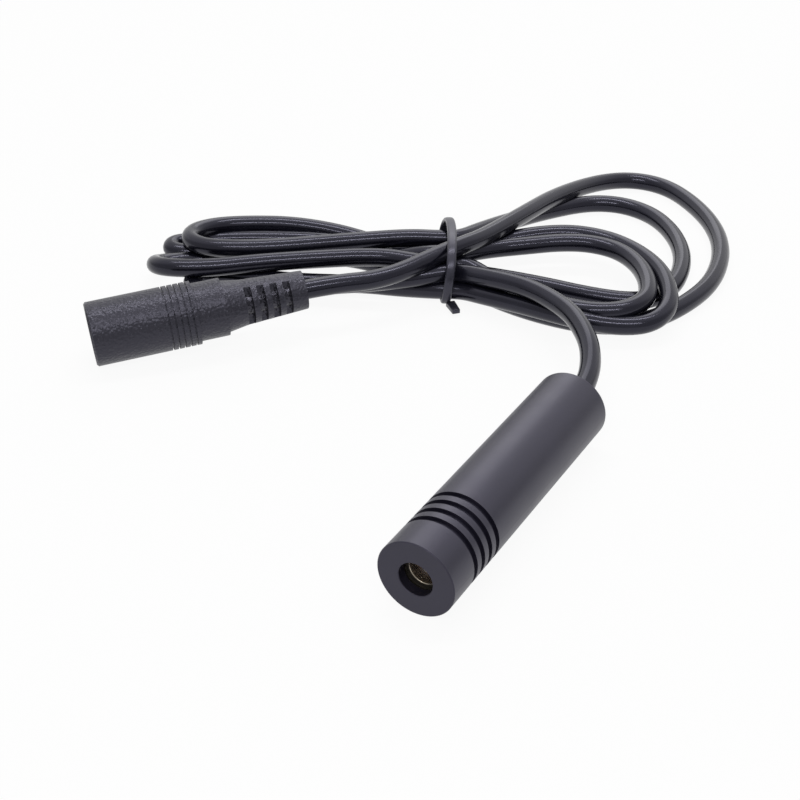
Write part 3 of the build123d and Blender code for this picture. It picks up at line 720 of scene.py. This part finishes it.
# %% Board and its parts
chip, _, _ = textured(
    "laser_chip", dark=(0.20, 0.20, 0.24), light=(0.28, 0.28, 0.34), gloss=(0.10, 0.16),
    tone_scale=2000, relief=(6000, 0.03, 0.00001))
board, _, _ = textured(
    "solder_mask", dark=(0.02, 0.13, 0.05), light=(0.03, 0.19, 0.08), gloss=(0.28, 0.40),
    tone_scale=500, relief=(1800, 0.10, 0.00003))
component, _, _ = textured(
    "component_body", dark=(0.018, 0.018, 0.018), light=(0.032, 0.032, 0.032), gloss=(0.45, 0.60),
    tone_scale=700, relief=(4000, 0.15, 0.00003))
ceramic, _, _ = textured(
    "ceramic", dark=(0.42, 0.27, 0.13), light=(0.50, 0.34, 0.18), gloss=(0.40, 0.55),
    tone_scale=900, relief=(4000, 0.12, 0.00003))
trimmer, _, _ = textured(
    "trimmer_body", dark=(0.60, 0.60, 0.56), light=(0.72, 0.72, 0.68), gloss=(0.40, 0.50),
    tone_scale=900, relief=(4000, 0.10, 0.00003))
for node, material in {
    "diode_chip": chip, "driver_board": board, "driver_chip": component, "board_resistors": component,
    "board_capacitor": ceramic, "power_trimmer": trimmer,
}.items():
    dress(node, material)
print("board and its parts placed")

# %% [markdown]
# ## Wires, rubber and insert
# The wires have glossy insulation. The plug and the cushion behind the lens cell are rubber, dull and a
# little uneven, and the insert of the socket is a harder, smoother plastic. All but the red wires are
# near black, so it is their gloss that tells them apart.

# %% Wires, rubber and insert
red_wire, _, _ = textured(
    "red_insulation", dark=(0.42, 0.02, 0.02), light=(0.55, 0.03, 0.03), gloss=(0.28, 0.36),
    tone_scale=600, relief=(2500, 0.06, 0.00003))
black_wire, _, _ = textured(
    "black_insulation", dark=(0.02, 0.02, 0.02), light=(0.03, 0.03, 0.03), gloss=(0.28, 0.36),
    tone_scale=600, relief=(2500, 0.06, 0.00003))
rubber, _, _ = textured(
    "black_rubber", dark=(0.010, 0.010, 0.011), light=(0.018, 0.018, 0.020), gloss=(0.50, 0.65),
    tone_scale=400, relief=(2200, 0.20, 0.00006))
insert, _, _ = textured(
    "socket_insert", dark=(0.012, 0.012, 0.013), light=(0.020, 0.020, 0.022), gloss=(0.25, 0.35),
    tone_scale=500, relief=(2500, 0.08, 0.00003))
for node, material in {
    "supply_wire": red_wire, "jack_supply_wire": red_wire, "return_wire": black_wire,
    "jack_return_wire": black_wire, "rear_plug": rubber, "cell_cushion": rubber, "jack_insert": insert,
}.items():
    dress(node, material)
print("wires, rubber and insert placed")

# %% [markdown]
# ## Glass
# The lens and the diode's window are glass. The lens has a coating against reflections, which passes
# less blue and makes the dark inside of the barrel look brown. A thin second shell could carry the
# coating, but a tint and slightly less transmission look the same from outside.

# %% Glass
COATED_TRANSMISSION = 0.85
clear_glass, _, window_shader = finish_of("clear_glass", (0.95, 0.95, 0.96), 0.03, ior=1.52)
coated_glass, lens_tree, lens_shader = finish_of("coated_glass", (0.60, 0.45, 0.34), 0.05, ior=1.52)
window_shader.inputs["Transmission Weight"].default_value = 1.0
lens_shader.inputs["Transmission Weight"].default_value = COATED_TRANSMISSION
lens_place = lens_tree.nodes.new("ShaderNodeTexCoord").outputs["Object"]
haze = place_group(lens_tree, mottle, {
    "Vector": lens_place, "Scale": 900.0, "Dark": (0.50, 0.37, 0.27, 1), "Light": (0.66, 0.50, 0.38, 1),
    "Low Roughness": 0.03, "High Roughness": 0.08})
lens_tree.links.new(haze.outputs["Color"], lens_shader.inputs["Base Color"])
lens_tree.links.new(haze.outputs["Roughness"], lens_shader.inputs["Roughness"])
dress("collimating_lens", coated_glass)
dress("diode_window", clear_glass)
print("glass placed")

# %% [markdown]
# ## Plastic of the tie
# The tie is nylon, a little lighter than the cable and nearly as glossy. With the cable's own finish it
# would be lost among the turns.

# %% Plastic of the tie
nylon, _, nylon_shader = textured(
    "tie_nylon", dark=(0.020, 0.020, 0.028), light=(0.028, 0.028, 0.038), gloss=(0.26, 0.34),
    tone_scale=400, relief=(1500, 0.10, 0.00005), ior=1.55)
nylon_shader.inputs["Specular Tint"].default_value = (0.82, 0.80, 1.0, 1)
tie.data.materials.clear()
tie.data.materials.append(nylon)
dress("cable_tie", nylon)
print("tie:", nylon.name)

# %% [markdown]
# ## Floor
# The part lies on a plain white table. Enough light to turn the table white would wash out the black
# part. So the table glows for the camera and in reflections, by Light Path, and its own white surface
# still takes a little of the part's soft shadow.

# %% Floor
FLOOR_GLOW = 0.93
FLOOR_SIZE = 3.0
bpy.ops.object.select_all(action="DESELECT")
bpy.ops.mesh.primitive_plane_add(size=FLOOR_SIZE, location=(0, 0.3, 0))
floor = bpy.context.object
floor.name = "floor"
white = bpy.data.materials.new("white_table")
white.use_nodes = True
white_tree = white.node_tree
white_tree.nodes.clear()
white_output = white_tree.nodes.new("ShaderNodeOutputMaterial")
white_matt = white_tree.nodes.new("ShaderNodeBsdfDiffuse")
white_matt.inputs["Color"].default_value = (0.85, 0.85, 0.85, 1)
white_glow = white_tree.nodes.new("ShaderNodeEmission")
rays = white_tree.nodes.new("ShaderNodeLightPath")
seen = math_node(white_tree, "MAXIMUM", rays.outputs["Is Camera Ray"], rays.outputs["Is Glossy Ray"])
seen = math_node(white_tree, "MAXIMUM", seen, rays.outputs["Is Transmission Ray"])
share = math_node(white_tree, "MULTIPLY", seen, FLOOR_GLOW)
white_mix = white_tree.nodes.new("ShaderNodeMixShader")
white_tree.links.new(share, white_mix.inputs["Fac"])
white_tree.links.new(white_matt.outputs["BSDF"], white_mix.inputs[1])
white_tree.links.new(white_glow.outputs["Emission"], white_mix.inputs[2])
white_tree.links.new(white_mix.outputs["Shader"], white_output.inputs["Surface"])
floor.data.materials.append(white)
print("floor placed")

# %% [markdown]
# ## Studio
# Glossy black shows little but its surroundings, so the room is the main light: brighter up and to
# the back, darker towards the camera. Large white cards would do this in a real studio. Here the world
# reads its own direction, which needs no extra objects. The camera itself sees plain white, and
# diffuse light gets a share of the room only.

# %% Studio
ROOM_BRIGHT_SIDE = (-0.33, 0.55, 0.77)
ROOM_DIM = 0.55
ROOM_FILL = 0.55
world = bpy.data.worlds.new("studio")
scene.world = world
world.use_nodes = True
room = world.node_tree
backdrop = room.nodes["Background"]
direction = room.nodes.new("ShaderNodeTexCoord").outputs["Generated"]
toward = vector_node(room, "DOT_PRODUCT", direction, ROOM_BRIGHT_SIDE)
glow = ramp_node(room, toward, low=0.3, high=0.6, to_low=ROOM_DIM, to_high=1.0)
paths = room.nodes.new("ShaderNodeLightPath")
mirrored = math_node(
    room, "MAXIMUM", paths.outputs["Is Glossy Ray"], paths.outputs["Is Transmission Ray"])
fill = ramp_node(room, mirrored, low=0.0, high=1.0, to_low=ROOM_FILL, to_high=1.0)
lit = math_node(room, "MULTIPLY", glow, fill)
strength = math_node(room, "MAXIMUM", lit, paths.outputs["Is Camera Ray"])
room.links.new(strength, backdrop.inputs["Strength"])
backdrop.inputs["Color"].default_value = (1, 1, 1, 1)
scene.view_settings.view_transform = "Standard"
print("studio ready")

# %% [markdown]
# ## Lamps
# Two long narrow lamps draw the thin bright lines along the cable: one overhead, a little behind the
# part, and a narrower one on the camera's side. Round or square lamps would leave spots instead of
# lines. One square lamp stands at the back left, and brightens the barrel and the socket.

# %% Lamps
LAMP_TARGET = Vector((-0.03, 0.03, 0))
TO_BACK = Vector((-0.51, 0.86, 0))
OVERHEAD_PLACE = TO_BACK * 0.155 + Vector((0, 0, 0.58))
CAMERA_SIDE_PLACE = TO_BACK * -0.37 + Vector((0, 0, 0.473))
BACK_PLACE = Vector((-0.345, 0.72, 0.595)) * 0.6


def add_lamp(name, offset, size, power):
    """An area lamp at an offset from the part, aimed at it. Its long side lies across the view."""
    data = bpy.data.lights.new(name, "AREA")
    data.shape = "RECTANGLE"
    data.size, data.size_y = size
    data.energy = power
    lamp = bpy.data.objects.new(name, data)
    lamp.location = LAMP_TARGET + offset
    lamp.rotation_euler = (-offset).to_track_quat("-Z", "Y").to_euler()
    scene.collection.objects.link(lamp)


add_lamp("overhead_strip", OVERHEAD_PLACE, size=(0.50, 0.06), power=1.10)
add_lamp("camera_strip", CAMERA_SIDE_PLACE, size=(0.50, 0.035), power=1.0)
add_lamp("back_lamp", BACK_PLACE, size=(0.30, 0.30), power=0.42)
print("lamps placed")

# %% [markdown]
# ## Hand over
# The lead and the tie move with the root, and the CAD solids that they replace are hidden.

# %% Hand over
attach(lead, "root")
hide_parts("lead_to_module", "lead_hank", "lead_to_jack")
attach(tie, "root")
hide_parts("cable_tie")
